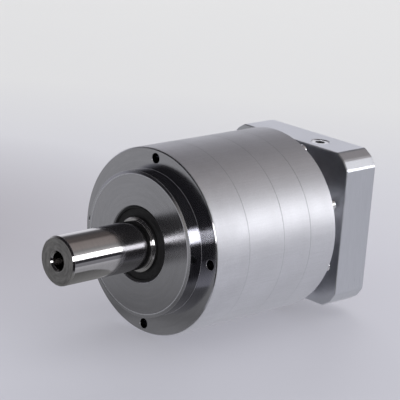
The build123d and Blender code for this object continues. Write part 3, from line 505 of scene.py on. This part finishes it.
def make_shade():
    """Painted shade seen only in the metal: a faintly glowing card that dims the table in front of the
    gearbox, darkest beside the flange.
    """
    mesh = bpy.data.meshes.new("front_shade")
    outline = (
        (SHADE_RIGHT, 0.0), (SHADE_LEFT, 0.0), (SHADE_LEFT, SHADE_BACK),
        (SHADE_REACH, SHADE_BACK), (SHADE_REACH, SHADE_REACH), (SHADE_RIGHT, SHADE_REACH),
    )
    mesh.from_pydata([(x, y, 0.0) for x, y in outline], [], [range(len(outline))])
    shade = bpy.data.objects.new("front_shade", mesh)
    shade.location = (0.0, 0.0, FLOOR_Z + SHADE_LIFT)
    bpy.context.scene.collection.objects.link(shade)
    shader = Shader("front_shade")
    distance = shader.vector_value("LENGTH", shader.place)
    shader.link(shader.ramp(distance, SHADE_TONES), shader.bsdf.inputs["Emission Color"])
    shader.bsdf.inputs["Emission Strength"].default_value = 1.0
    shader.bsdf.inputs["Base Color"].default_value = (*BLACK, 1)
    shader.bsdf.inputs["Specular IOR Level"].default_value = 0.0
    mesh.materials.append(shader.material)
    for ray in ("camera", "diffuse", "transmission", "volume_scatter", "shadow"):
        setattr(shade, "visible_" + ray, False)


# The mirrored room by height, from straight down at 0 to straight up at 1: table, far edge, wall, ceiling.
WALL_HEIGHTS = (
    (0.0, (0.50, 0.50, 0.53)), (0.27, (0.54, 0.54, 0.57)), (0.335, (0.74, 0.74, 0.78)),
    (0.362, (0.54, 0.54, 0.58)), (0.385, (0.32, 0.32, 0.35)), (0.42, (0.36, 0.36, 0.39)),
    (0.49, (0.56, 0.56, 0.60)), (0.62, (0.60, 0.60, 0.63)), (0.71, (0.24, 0.235, 0.25)),
    (0.79, (0.11, 0.105, 0.11)), (0.87, (0.14, 0.12, 0.115)), (1.0, (0.09, 0.085, 0.09)),
)
LEFT_HEIGHTS = ((0.43, 0.0), (0.48, 1.0), (0.65, 1.0), (0.72, 0.0))
GAP_HEIGHTS = ((0.44, 0.0), (0.46, 1.0), (0.545, 1.0), (0.56, 0.0))
GLOW_HEIGHTS = ((0.53, 0.0), (0.62, 0.9), (0.71, 0.62), (0.82, 0.12), (0.90, 0.0))
# Patches of the mirrored room, each painted over those before it: azimuth, elevation, the cosines of the
# angles where it starts and where it is full, its strength by height if that varies, and its colour.
ROOM_PATCHES = {
    "lit wall at the left": (225, 5, 0.70, 0.92, LEFT_HEIGHTS, (1.0, 1.0, 1.06)),
    "warm ceiling": (160, 46, 0.94, 0.985, None, (0.38, 0.335, 0.32)),
    "dark gap under the window": (138, 2, 0.82, 0.90, GAP_HEIGHTS, (0.05, 0.05, 0.06)),
    "glow round the window": (140, 30, 0.55, 1.0, GLOW_HEIGHTS, (1.0, 0.99, 0.98)),
    "table at the left": (315, -12, 0.6, 0.85, None, (0.46, 0.46, 0.49)),
    "dark room behind the camera": (15, 28, 0.28, 0.50, None, (0.022, 0.021, 0.024)),
    "lamp in front of the shaft": (1, 6, 0.90, 0.96, None, (0.60, 0.575, 0.53)),
}
EVEN_LIGHT = (0.80, 0.80, 0.82)


def make_world():
    """Soft surroundings.

    Diffuse light comes evenly from all round. Metal mirrors a room: a pale table and wall behind the
    gearbox, a dim warm ceiling, the glow of the window's light on the wall, and darkness where the camera
    stands.
    """
    world = bpy.data.worlds.new("studio")
    bpy.context.scene.world = world
    world.use_nodes = True
    shader = Shader.of_tree(world.node_tree)
    height = shader.math("MULTIPLY_ADD", shader.split(shader.generated)[2], HALF, HALF)
    room = shader.ramp(height, WALL_HEIGHTS)
    for azimuth, elevation, start, full, heights, colour in ROOM_PATCHES.values():
        cosine = shader.vector_value("DOT_PRODUCT", shader.generated, direction(azimuth, elevation))
        patch = shader.ramp(cosine, ((start, 0.0), (full, 1.0)))
        if heights:
            patch = shader.times(patch, shader.ramp(height, heights))
        room = shader.mix(patch, room, colour)
    path = shader.node("ShaderNodeLightPath")
    colour = shader.mix(path.outputs["Is Glossy Ray"], EVEN_LIGHT, room)
    shader.link(colour, world.node_tree.nodes["Background"].inputs[0])


make_floor()
make_shade()
make_world()
softbox("right_window", azimuth=134, elevation=14.5, distance=2.2, width=0.9, height=0.64, power=8.4)
softbox("strip_by_camera", azimuth=41, elevation=10.5, distance=2.2, width=0.85, height=0.52, power=8.6)
softbox("top_fill", azimuth=150, elevation=70, distance=2.6, width=2.4, height=2.4, power=22, seen=False)
softbox("back_glow", azimuth=225, elevation=30, distance=5.0, width=2.6, height=2.0, power=90, seen=False)

# ---------------------------------------------------------------- camera
camera_data = bpy.data.cameras.new("camera")
camera_data.lens = LENS
camera_data.sensor_width = SENSOR_WIDTH
camera_data.clip_end = FARTHEST_SEEN
camera = bpy.data.objects.new("camera", camera_data)
bpy.context.scene.collection.objects.link(camera)
aim(camera, LOOK_AT + VIEW_DISTANCE * direction(VIEW_AZIMUTH, VIEW_ELEVATION), LOOK_AT)
camera.rotation_quaternion = camera.rotation_quaternion @ Quaternion((0, 0, 1), math.radians(VIEW_ROLL))
bpy.context.scene.camera = camera
bpy.context.scene.view_settings.view_transform = "Standard"
